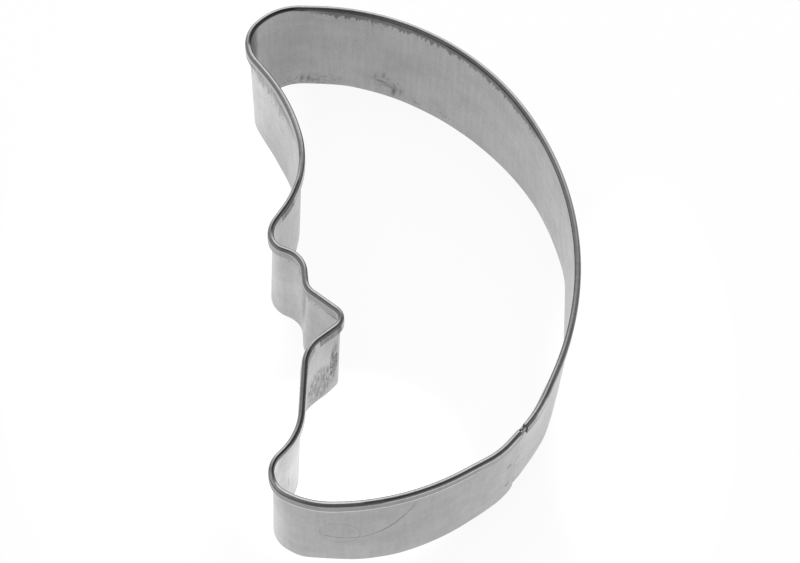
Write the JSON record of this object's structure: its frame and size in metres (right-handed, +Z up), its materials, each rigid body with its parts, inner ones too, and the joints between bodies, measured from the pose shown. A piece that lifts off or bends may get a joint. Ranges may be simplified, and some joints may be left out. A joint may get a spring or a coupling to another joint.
{
  "type": "cookie cutter",
  "caption": "Stainless steel cookie cutter in the outline of a half moon with a face in profile: a strip on edge with a folded grip rim and a lapped, spot-welded seam.",
  "frame": {"origin": "on the table at the level of the cutting edge, under the middle of the box round the outline", "axes": "+Z up from the cutting edge to the folded rim, +Y along the outline's length to the upper horn, +X from the face to the rounded back"},
  "size_m": [0.0466, 0.0722, 0.022],
  "materials": {
    "stainless_sheet": "bright rolled stainless sheet with fine rolling lines and light scuffs",
    "weld_metal": "slightly duller disc of the sheets' own metal, melted together"
  },
  "bodies": {
    "root": {"cutter_strip": "stainless_sheet", "spot_weld_1": "weld_metal", "spot_weld_2": "weld_metal", "spot_weld_3": "weld_metal"}
  },
  "joints": []
}
